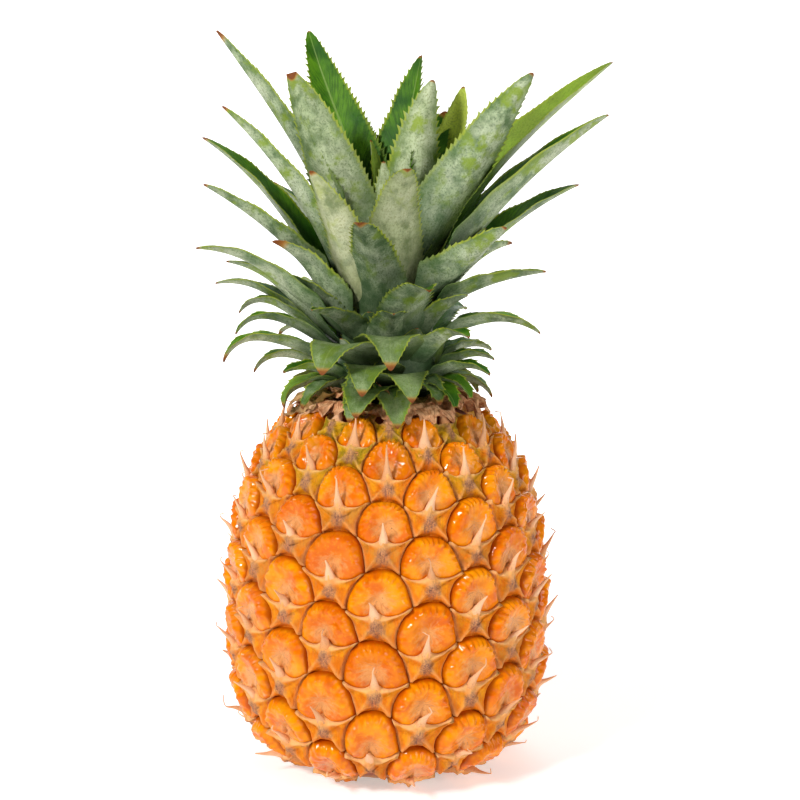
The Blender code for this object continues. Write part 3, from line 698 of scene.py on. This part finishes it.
def add_spikes():
    """Every bract's tongue: a broad foot that grows out of the bract, narrowing to a dry curled thread."""
    draw = np.random.default_rng(SEED + 13)
    shape = Shape()
    turn = np.arange(SPIKE_AROUND) * TAU / SPIKE_AROUND
    faces = tube_faces(SPIKE_SECTIONS, SPIKE_AROUND)
    share = np.linspace(0, 1, SPIKE_SECTIONS)
    for column, row, across, down, rise in BRACTS:
        lean = draw.uniform(-0.06, 0.06)
        above = float(smooth_step(1.2, -0.4, row))
        reach = draw.uniform(0, 0.05) + 0.05 * above
        path = [(0, 0.44, -0.6), (0, 0.31, 0.9), (0.2 * across + 0.3 * lean, 0.19, 2.4),
                (0.6 * across + 0.6 * lean, 0.5 * (down + 0.17), 0.47 * (rise + 2)),
                (across + lean, down - reach, 0.92 * rise)]
        if draw.uniform() < THREAD_SHARE:
            curl = draw.uniform(-0.12, 0.12)
            far = reach + draw.uniform(0.03, 0.12)
            lift = min(rise, 7)
            path += [(across + lean + 0.4 * curl, down - 0.6 * far, lift),
                     (across + lean + curl, down - far, lift - draw.uniform(0.2, 1.4))]
        line = np.vstack((through(path, SPIKE_SECTIONS - 1), path[-1:]))
        centre = fruit_points(column + line[:, 0], row + line[:, 1], line[:, 2])
        along = np.gradient(centre, axis=0)
        along /= np.linalg.norm(along, axis=1)[:, None]
        angle = FRONT_ANGLE + column * TAU / COLUMNS + row * ROW_DRIFT
        sideways = np.array((math.cos(angle), math.sin(angle), 0))
        outward = np.cross(sideways, along)
        taper = np.clip(1 - share / (4 / (len(path) - 1)), 0, 1)
        full = (SPIKE_WIDTH[1] + SPIKE_WIDER * above) * draw.uniform(0.85, 1.15)
        wide = SPIKE_WIDTH[0] + full * taper ** 1.4
        deep = SPIKE_DEPTH[0] + SPIKE_DEPTH[1] * taper ** 1.1
        points = (centre[:, None] + (wide[:, None] * np.cos(turn))[..., None] * sideways
                  + (deep[:, None] * np.sin(turn))[..., None] * outward[:, None])
        shape.add(points, faces, along=np.repeat(share, SPIKE_AROUND), own=draw.uniform())
    return shape.make("bract_spikes", spike_surface())


BODY_AROUND = 168
BODY_UP = 60
BODY_INSET = 0.25
WRINKLE_DEPTH = 0.45
STALK_RADIUS = 14
STALK_DEPTH = 4


def add_body():
    """The barrel that shows in the creases, with its shrunken base round the stalk and its flat top."""
    draw = np.random.default_rng(SEED + 21)
    radius, height = on_side(np.linspace(0, SIDE_LENGTH, BODY_UP), -BODY_INSET)
    rim = PROFILE[1][0]
    outline = [(0.2, STALK_DEPTH), (STALK_RADIUS, STALK_DEPTH), (STALK_RADIUS, 0.5)]
    outline += [(STALK_RADIUS + 0.5, 0), (17, 0), (20, 0), (rim - 1, 0), (rim, 0.35)]
    outline += list(zip(radius[1:], height[1:]))
    outline += [(radius[-1] * part, FRUIT_HEIGHT - BODY_INSET) for part in (0.75, 0.5, 0.25, 0.01)]
    points, faces = turned(outline, BODY_AROUND)
    angle = np.arange(BODY_AROUND) * TAU / BODY_AROUND
    base = smooth_step(7, 2, points[..., 2])
    pleats = np.abs(np.sin(angle * COLUMNS + 0.8 * np.sin(angle * 5)))
    wrinkle = WRINKLE_DEPTH * pleats * bell(points[..., 2], 1.5, 2)
    points[..., :2] *= (1 - wrinkle / 40)[..., None]
    points[..., 2] += 0.1 * np.clip(wobble(points, 5, draw), 0, 2) * bell(points[..., 2], 0.6, 1.4)
    shape = Shape()
    shape.add(points, faces, base=base)
    return shape.make("fruit_body", body_surface())


# Leaves seen from the front: tip x, y, z, height of the root and width in mm, elevation at the root and
# at the tip in degrees, and the blade's turn about its own length where it has one
FRONT_LEAVES = (
    (-52, 5, 226, 146, 21, 74, 54, 12),
    (-28, -10, 210, 150, 21, 74, 66, 50),
    (-25, 24, 229, 158, 20, 82, 68, -40),
    (-49, -8, 202, 140, 16, 68, 44, 12),
    (-57, 6, 194, 139, 17, 52, 34, -12),
    (-55, -8, 179, 140, 15, 46, 30, 12),
    (-22, -26, 182, 139, 20, 66, 56, 5),
    (11, 14, 220, 166, 21, 84, 74, -10),
    (14, -6, 210, 158, 20, 80, 70, -60),
    (6, -34, 182, 141, 20, 78, 25),
    (25, 26, 212, 158, 20, 60, 88),
    (43, -14, 211, 150, 20, 62, 54, -50),
    (71, 14, 218, 145, 17, 64, 40, 12),
    (67, -4, 200, 140, 21, 56, 36, 6),
    (61, 14, 180, 140, 19, 42, 24, 8),
    (-57, -12, 160, 133, 16, 30, 2),
    (-49, -4, 156, 130, 14, 28, 10),
    (-54, 8, 149, 128, 13, 26, -8),
    (-46, 2, 140, 127, 12, 28, -50),
    (-46, -8, 134, 126, 11, 33, -58),
    (-49, -14, 126, 123, 12, 22, -66),
    (-41, -4, 122, 121, 11, 20, -60),
    (-31, -16, 123, 119, 13, 18, -20),
    (-31, -12, 112, 117, 12, 20, -88),
    (-34, -14, 162, 134, 18, 44, 24, 10),
    (-8, -36, 167, 137, 18, 70, 20),
    (12, -38, 148, 131, 20, 52, -8),
    (35, -20, 166, 142, 18, 34, 40, -20),
    (48, -10, 153, 138, 17, 34, 8),
    (47, -6, 134, 131, 14, 22, -34),
    (24, -24, 134, 125, 14, 24, -24),
    (33, -6, 126, 121, 12, 26, -26),
    (31, -14, 122, 119, 11, 28, -34),
    (25, -16, 115, 117, 11, 26, -66),
    (20, -22, 113, 116, 11, 24, -74),
    (33, 6, 128, 124, 13, 22, -30),
)

# Flatter leaves that fold over and hang down in front
FOLDED_LEAVES = (
    (-18, -44, 125, 125, 21, 26, -68),
    (1, -52, 127, 126, 18, 26, -66),
    (-7, -44, 119, 120, 16, 26, -66),
    (7, -42, 117, 118, 15, 24, -64),
    (-9, -36, 112, 116, 15, 22, -60),
    (3, -37, 109, 116, 13, 22, -62),
    (-11, -31, 110, 115, 11, 18, -58),
)

# The youngest leaves, which close over the stem's end
HEART_LEAVES = (
    (5, 3, 190, 164, 9, 86, 80),
    (-5, 3, 193, 165, 9, 86, 80),
    (-1, -6, 186, 163, 9, 86, 80),
)

FOOT_LEAVES = 9
FOOT_ROOTS = (115.5, 120)
FOOT_REACH = (27, 34)
FOOT_TIPS = (112, 114.5)
FOOT_FORM = (10.5, 30, -62, 0)
BACK_LEAVES = 20
BACK_SPREAD = math.radians(64)
BACK_START = 0.12
BACK_REACH_RANGE = (0.92, 1.05)
BACK_WIDTH_RANGE = (0.9, 1.1)
BACK_TOP_RANGE = (-3, 3)
BACK_ROLL_RANGE = (-30, 30)
GOLDEN_PART = 0.6180339887
BACK_TIERS = np.array((
    (116, 31, 113, 12, 22, -66),
    (123, 42, 128, 13, 28, -52),
    (130, 47, 147, 15, 30, -8),
    (138, 49, 171, 17, 44, 24),
    (147, 46, 193, 18, 64, 46),
    (160, 34, 211, 19, 78, 62),
))

SHEATHS = 20
SHEATH_ROOTS = (113, 146)
SHEATH_LENGTH = 15
SHEATH_STAND_OFF = 3.5
SHEATH_FORM = (17, 78, 84, 0)


def back_leaves():
    """The hidden leaves, drawn in the same order as in the solids."""
    draw = random.Random(SEED + 1)
    leaves = []
    heights, *tiers = BACK_TIERS.T
    for index in range(BACK_LEAVES):
        height = heights[0] + (index + 0.5) / BACK_LEAVES * (heights[-1] - heights[0])
        reach, top, width, lift, droop = (np.interp(height, heights, tier) for tier in tiers)
        angle = math.pi + (2 * ((index * GOLDEN_PART + BACK_START) % 1) - 1) * BACK_SPREAD
        reach *= draw.uniform(*BACK_REACH_RANGE)
        top += draw.uniform(*BACK_TOP_RANGE)
        width *= draw.uniform(*BACK_WIDTH_RANGE)
        roll = draw.uniform(*BACK_ROLL_RANGE)
        leaves.append((*placed(angle, reach, top), height, width, lift, droop, roll))
    return leaves


def foot_leaves():
    """The small leaves round the crown's foot, drawn in the same order as in the solids."""
    draw = random.Random(SEED + 3)
    leaves = []
    for index, height in enumerate(np.linspace(*FOOT_ROOTS, FOOT_LEAVES, endpoint=False)):
        reach = draw.uniform(*FOOT_REACH)
        place = placed(index * GOLDEN_PART % 1 * TAU, reach, draw.uniform(*FOOT_TIPS))
        leaves.append((*place, height, *FOOT_FORM))
    return leaves


def sheaths():
    """Short leaf bases that clasp the stem between the leaves."""
    leaves = []
    for index, height in enumerate(np.linspace(*SHEATH_ROOTS, SHEATHS, endpoint=False)):
        top = height + SHEATH_LENGTH
        stand = np.interp(top, STEM_OUTLINE[:, 1], STEM_OUTLINE[:, 0]) + SHEATH_STAND_OFF
        leaves.append((*placed(index * GOLDEN_PART % 1 * TAU, stand, top), height, *SHEATH_FORM))
    return leaves


STEM_OUTLINE = np.array(((14, 112.3), (15.5, 123), (14, 134), (11.5, 147), (7.5, 164), (4, 176)))
ROOT_SINK = 2.5
BLADE_HANDLE = 0.4
TAPER_POWER = 0.57
TAPER_START = 1.15
ROOT_WIDTH = 0.5
STEM_PART = 0.75
FULL_WIDTH_AT = 0.3
CHANNEL = 0.55
CHANNEL_POWER = 1.35
BLADE_ACROSS = 8
EDGE_THINNING = 0.86
BUCKLE_SIZE = 4
RUFFLE_RISE = 0.25
SPINE_SIZES = (0.55, 1.2)

# Sections of a tooth: how far along it, how far out they reach and how far forward they lean
TOOTH_PITCH = 2.1
TOOTH_PLACES = (0, 0.5, 0.82, 0.9)
TOOTH_REACH = (0, 0.25, 1, 0)
TOOTH_LEAN = (0, 0, 0.9, 0)


def cubic(ends, share):
    rest = 1 - share
    weights = np.stack((rest ** 3, 3 * rest * rest * share, 3 * rest * share ** 2, share ** 3), -1)
    return weights @ ends


def blade_curve(root, tip, lift, droop):
    """The cubic from root to tip that leaves and arrives at two elevations, and the level way across it."""
    flat = np.array((tip[0] - root[0], tip[1] - root[1], 0))
    outward = flat / np.linalg.norm(flat)
    up = np.array((0, 0, 1))
    reach = BLADE_HANDLE * np.linalg.norm(tip - root)
    leave = outward * math.cos(lift) + up * math.sin(lift)
    arrive = outward * math.cos(droop) + up * math.sin(droop)
    ends = np.array((root, root + reach * leave, tip - reach * arrive, tip))
    return ends, np.array((-outward[1], outward[0], 0))


# A blade's deep is how much painted shade it takes.
def add_blade(shape, root, tip, size, angles, draw, channel=CHANNEL, tooth=0.8, crumple=0, blunt=0,
              taper=TAPER_POWER, dry=0.016, warm=0, pale=0, deep=0, bloom=0):
    """A channelled blade with spined edges, closed all round. Its size is its width, the part of it left at
    the root and its two thicknesses; its angles are its two elevations and its turn about its length."""
    width, root_width, thick_root, thick_tip = size
    lift, droop, roll = (math.radians(angle) for angle in angles)
    ends, level = blade_curve(np.array(root, float), np.array(tip, float), lift, droop)
    length = np.linalg.norm(np.diff(cubic(ends, np.linspace(0, 1, 60)), axis=0), axis=1).sum()
    teeth = max(6, round(length / TOOTH_PITCH))
    share = ((np.arange(teeth)[:, None] + np.array(TOOTH_PLACES)) / teeth).ravel()
    share = np.append(share, 0.999)
    out_reach, lean = (np.append(np.tile(part, teeth), 0) for part in (TOOTH_REACH, TOOTH_LEAN))
    centre = cubic(ends, share)
    along = cubic(ends, np.minimum(share + 0.01, 1)) - cubic(ends, share - 0.01)
    along /= np.linalg.norm(along, axis=1)[:, None]
    opened = np.minimum(1, share / FULL_WIDTH_AT)
    turn = (roll * opened)[:, None]
    sideways = level * np.cos(turn) + np.cross(along, level) * np.sin(turn)
    upward = np.cross(along, sideways)
    left = 1 - share
    narrowing = np.clip(TAPER_START * left ** taper, blunt, 1)
    half = width / 2 * narrowing * (root_width + (1 - root_width) * opened)
    toothed = smooth_step(0.1, 0.25, share) * np.minimum(1, 5 * left) ** 0.7
    thickness = thick_tip + (thick_root - thick_tip) * left
    ruffle = RUFFLE_RISE * np.sin(share * draw.uniform(18, 30) + draw.uniform(0, TAU)) * toothed
    ragged = 9 * blunt * smooth_step(0.94, 1, share)
    buckle = crumple * wobble(centre, BUCKLE_SIZE, draw)
    tops, bottoms = [], []
    cross = np.linspace(-1, 1, BLADE_ACROSS + 1)
    for x in cross:
        out = x * half
        forward = ragged * (abs(x) ** 2 * draw.uniform(0.6, 1.2) + 0.15 * draw.uniform())
        if abs(x) == 1:
            spine = tooth * draw.uniform(*SPINE_SIZES, len(share)) * toothed
            out = out + x * spine * out_reach
            forward = forward + spine * lean
        sheet = channel * half * opened * abs(x) ** CHANNEL_POWER
        sheet = sheet + ruffle * x * abs(x) + buckle * math.cos(3 * x)
        line = centre + out[:, None] * sideways + sheet[:, None] * upward + forward[:, None] * along
        depth = (thickness * (1 - EDGE_THINNING * abs(x) ** 1.5) / 2)[:, None] * upward
        tops.append(line + depth)
        bottoms.append(line - depth)
    loop = np.stack(tops + bottoms[::-1], 1)
    around = loop.shape[1]
    sections = len(share)
    inner = np.repeat((1 - bloom, 0), len(cross))
    shape.add(loop, tube_faces(sections, around), along=np.repeat(share, around),
              length=np.repeat(share * length, around), inner=np.tile(inner, sections),
              across=np.tile(np.concatenate((cross, cross[::-1])), sections), own=draw.uniform(),
              dry=np.repeat(smooth_step(1 - 2.6 * dry, 1 - 0.2 * dry, share), around),
              warm=np.tile(warm * (0.4 + 0.6 * inner), sections), pale=pale, deep=deep)


def add_leaf(shape, leaf, draw, width=1, **looks):
    x, y, z, root_height, full_width, *angles = leaf
    stem = np.interp(root_height, STEM_OUTLINE[:, 1], STEM_OUTLINE[:, 0])
    root = np.array((x, y, 0)) / math.hypot(x, y) * (stem - ROOT_SINK) + np.array((0, 0, root_height))
    size = (full_width * width, min(ROOT_WIDTH, STEM_PART * 2 * stem / full_width), 1.5, 0.5)
    add_blade(shape, root, (x, y, z), size, (*angles, 0)[:3], draw, **looks)


# Short inner leaves that close the gaps between the leaves in front
INNER_LEAVES = (
    (24, 2, 178, 146, 15, 66, 72),
    (30, -6, 166, 140, 14, 50, 50),
    (-20, -4, 176, 144, 14, 66, 66),
    (-30, -8, 152, 134, 14, 44, 30),
    (24, -16, 146, 132, 14, 44, 20),
    (-22, -22, 142, 131, 15, 44, 10),
    (2, -26, 141, 129, 16, 50, 10),
)

# How single front leaves differ: long spines, dry or cut tips, yellower or milkier blades, and painted shade
# (deep) on those set low or behind others
LOOKS = {
    0: {"tooth": 1.9, "dry": 0.03},
    1: {"blunt": 0.16, "taper": 0.42, "dry": 0.01, "warm": 0.12, "deep": 0.2},
    2: {"tooth": 1.1, "dry": 0.004},
    3: {"dry": 0.02},
    4: {"dry": 0.02, "deep": 0.2},
    5: {"deep": 0.15},
    6: {"dry": 0.02, "warm": 0.1, "pale": 0.3, "deep": 0.1},
    7: {"tooth": 1.5, "dry": 0.012},
    8: {"tooth": 1.2, "dry": 0.01, "warm": 0.2},
    9: {"dry": 0.02, "warm": 0.15, "pale": 0.2, "deep": 0.3},
    # Leaf 10's warm lime is partly painted light.
    10: {"dry": 0.008, "warm": 1, "width": 1.15},
    11: {"dry": 0.01, "width": 1.1},
    12: {"dry": 0.006, "warm": 0.3, "width": 1.45},
    13: {"dry": 0.006, "width": 1.4},
    14: {"deep": 0.2},
    20: {"dry": 0.05},
    21: {"dry": 0.04},
    23: {"dry": 0.05, "warm": 0.15},
    24: {"dry": 0.07, "deep": 0.35},
    25: {"dry": 0.045, "deep": 0.65},
    26: {"deep": 0.35, "width": 0.85},
    27: {"deep": 0.1, "width": 1.1},
    28: {"deep": 0.15},
}
# The deep of these looks is painted shade, strongest on the sheaths.
FOLDED_LOOKS = {"channel": 0.15, "tooth": 0.4, "taper": 0.66, "width": 1.25, "dry": 0.04, "warm": 0.1,
                "deep": 0.35, "bloom": 0.55}
HEART_LOOKS = {"warm": 0.3}
INNER_LOOKS = {"dry": 0.004, "deep": 0.5}
FOOT_LOOKS = {"dry": 0.05, "deep": 0.4, "bloom": 0.5}
SHEATH_LOOKS = {"tooth": 0.4, "dry": 0.01, "deep": 0.75}
BACK_DRY_RANGE = (0.02, 0.06)

# Root heights from which a leaf is in the upper or the middle piece, and the angle of a sharp edge
UPPER_FROM = 142
MIDDLE_FROM = 128
SHARP = 50


def stem_piece(surface):
    points, faces = turned([(0.2, 112.3), *STEM_OUTLINE, (0.1, 177)], 48)
    stem = Shape()
    # The stem takes painted shade (deep) too.
    stem.add(points, faces, along=0.1, length=points[..., 2], across=0.3, inner=0, own=0.5, dry=0,
             warm=0, pale=0, deep=0.6)
    return stem.make("crown_stem", surface)


def add_crown():
    """The leaves, in pieces small enough to handle, and the stem that carries them."""
    surface = leaf_surface()
    draw = np.random.default_rng(SEED + 31)
    upper, middle, lower, hidden = tiers = [Shape() for _ in range(4)]
    for index, leaf in enumerate(FRONT_LEAVES):
        tier = upper if leaf[3] >= UPPER_FROM else middle if leaf[3] >= MIDDLE_FROM else lower
        add_leaf(tier, leaf, draw, **LOOKS.get(index, {}))
    for tier, leaves, looks in ((lower, FOLDED_LEAVES, FOLDED_LOOKS), (upper, HEART_LEAVES, HEART_LOOKS),
                                (middle, INNER_LEAVES, INNER_LOOKS), (lower, foot_leaves(), FOOT_LOOKS)):
        for leaf in leaves:
            add_leaf(tier, leaf, draw, **looks)
    for leaf in back_leaves():
        add_leaf(hidden, leaf, draw, dry=draw.uniform(*BACK_DRY_RANGE))
    for leaf in sheaths():
        add_leaf(lower, leaf, draw, **SHEATH_LOOKS)
    names = ("leaves_upper", "leaves_middle", "leaves_lower", "leaves_back")
    return [tier.make(name, surface, SHARP) for name, tier in zip(names, tiers)] + [stem_piece(surface)]


# The hanging and the standing layer of scales: their number, their roots' reach and height, their tips'
# reach and height, the fall of a tip with its reach, and their three angles
SCALE_LAYERS = (
    (26, 17.5, 113, (25, 33), (113.2, 114.7), 0.0275, ((5, 20), (-60, -25), (-15, 15))),
    (20, 16.5, 113.8, (22, 28), (111.5, 117), 0, ((25, 70), (-70, 30), (-40, 40))),
)
SHORT_REACH = 20
SCALE_WIDTH = (8, 13)
SCALE_CHANNEL = (-0.25, 0.3)
SCALE_TOOTH = (0.4, 1.1)


def add_scales():
    """Torn papery scales, hanging over the fruit's shoulder and standing above it."""
    draw = np.random.default_rng(SEED + 41)
    shape = Shape()
    index = 0
    for count, root_reach, root_height, reaches, tops, fall, spans in SCALE_LAYERS:
        for _ in range(count):
            angle = (index + draw.uniform(-0.3, 0.3)) * TAU / count
            reach, top = draw.uniform(*reaches), draw.uniform(*tops)
            root = placed(angle, root_reach, root_height)
            tip = placed(angle, reach, top - fall * (reach - SHORT_REACH) ** 2)
            angles = [draw.uniform(*span) for span in spans]
            size = (draw.uniform(*SCALE_WIDTH), 0.6, 0.8, 0.3)
            add_blade(shape, root, tip, size, angles, draw, channel=draw.uniform(*SCALE_CHANNEL),
                      tooth=draw.uniform(*SCALE_TOOTH), crumple=0.7, blunt=0.12)
            index += 1
    return shape.make("papery_scales", scale_surface(), SHARP)


STALK_AROUND = 96
STALK_GAP = 0.3
STALK_BEVEL = 0.8
FACE_RINGS = 14


def add_stalk():
    """The cut end of the stalk: a shallow plug with a rough fibrous face."""
    draw = np.random.default_rng(SEED + 51)
    outer = STALK_RADIUS - STALK_GAP
    radii = np.array([*np.linspace(0.2, outer - STALK_BEVEL, FACE_RINGS), outer, outer, 0.2])
    heights = np.array([0] * FACE_RINGS + [STALK_BEVEL, STALK_DEPTH - STALK_GAP, STALK_DEPTH - STALK_GAP])
    points, faces = turned(list(zip(radii, heights)), STALK_AROUND)
    rough = np.clip(0.25 + 0.3 * wobble(points, 1.4, draw), 0, 0.9) * (heights < 0.1)[:, None]
    rough[FACE_RINGS - 1] = 0
    points[..., 2] += rough
    shape = Shape()
    shape.add(points, faces, rim=np.repeat(radii / outer, STALK_AROUND))
    return shape.make("stalk_face", stalk_surface())


def dress(pieces, node):
    """Sets the pieces in place of a solid: hangs them under the root and hides the solid."""
    for piece in pieces:
        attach(piece, "root")
        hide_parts(node)


dress([add_body(), *add_domes(), add_bracts(), add_spikes()], "fruit")
dress(add_crown(), "crown")
dress([add_scales()], "dry_scales")
dress([add_stalk()], "stalk_end")

# The paper sweep, the lights and the camera, in metres
SWEEP_HALF = 2
SWEEP_FRONT = -1.5
SWEEP_BACK = 0.9
SWEEP_CURVE = 0.5
SWEEP_TOP = 1.6
SWEEP_DROP = 0.0002
CAMERA_PLACE = (0, -0.4, 0.1604)
CAMERA_TILT = -6.77
CAMERA_TURN = -0.58
CAMERA_LENS = 58.05
GLOW_FROM_TO = (0.1, 0.8)
GLOW_FRONT = 0.4
GLOW_BACK = 0.9
WORLD_LIGHT = 0.16
LIGHT_AIM = (0, 0, 0.11)

# Lights by name, with their place, their width and their power in watts
LIGHTS = {
    "key": ((-0.65, -0.7, 0.7), 0.22, 10.2),
    "fill": ((0.8, -0.7, 0.45), 0.6, 4.5),
    "back": ((0.1, 0.8, 0.8), 0.6, 3),
}


def add_sweep():
    """Seamless pale paper: a floor that curves up into a wall behind the fruit."""
    bend = np.linspace(0, math.pi / 2, 24)
    line = [(SWEEP_FRONT, 0)]
    line += [(SWEEP_BACK + SWEEP_CURVE * math.sin(t), SWEEP_CURVE * (1 - math.cos(t))) for t in bend]
    line.append((SWEEP_BACK + SWEEP_CURVE, SWEEP_TOP))
    points = [(x, y, z - SWEEP_DROP) for y, z in line for x in (-SWEEP_HALF, SWEEP_HALF)]
    faces = [(2 * i, 2 * i + 1, 2 * i + 3, 2 * i + 2) for i in range(len(line) - 1)]
    data = bpy.data.meshes.new("sweep")
    data.from_pydata(points, [], faces)
    data.shade_smooth()
    paper = Surface("sweep_paper", "paper")
    paper.colour = "white"
    depth = paper.node("SeparateXYZ", {0: paper.place}).outputs[1]
    glow = paper.span(depth, *GLOW_FROM_TO, GLOW_BACK, start=GLOW_FRONT)
    paper.feed(paper.shader, {"Emission Color": (1, 1, 1, 1), "Emission Strength": glow})
    data.materials.append(paper.finish(0.95, 0))
    new_object("sweep", data)


def add_light(name, place, size, power):
    light = bpy.data.lights.new(name, "AREA")
    light.shape = "DISK"
    light.size = size
    light.energy = power
    item = new_object(name, light)
    item.location = place
    aim = np.array(LIGHT_AIM) - np.array(place)
    item.rotation_euler = (math.atan2(math.hypot(aim[0], aim[1]), -aim[2]), 0, math.atan2(-aim[0], aim[1]))


def add_world():
    world = bpy.data.worlds.new("studio")
    world.use_nodes = True
    background = world.node_tree.nodes["Background"]
    background.inputs["Color"].default_value = (1, 1, 1, 1)
    background.inputs["Strength"].default_value = WORLD_LIGHT
    bpy.context.scene.world = world


def add_camera():
    """The photograph's viewpoint, in front of the fruit and looking a little down."""
    data = bpy.data.cameras.new("camera")
    data.lens = CAMERA_LENS
    data.sensor_width = 36
    data.clip_start = 0.01
    item = new_object("camera", data)
    item.location = CAMERA_PLACE
    item.rotation_euler = (math.radians(90 + CAMERA_TILT), 0, math.radians(CAMERA_TURN))
    bpy.context.scene.camera = item


add_sweep()
add_world()
for light_name, (light_place, light_size, light_power) in LIGHTS.items():
    add_light(light_name, light_place, light_size, light_power)
add_camera()
bpy.context.scene.view_settings.view_transform = "Standard"
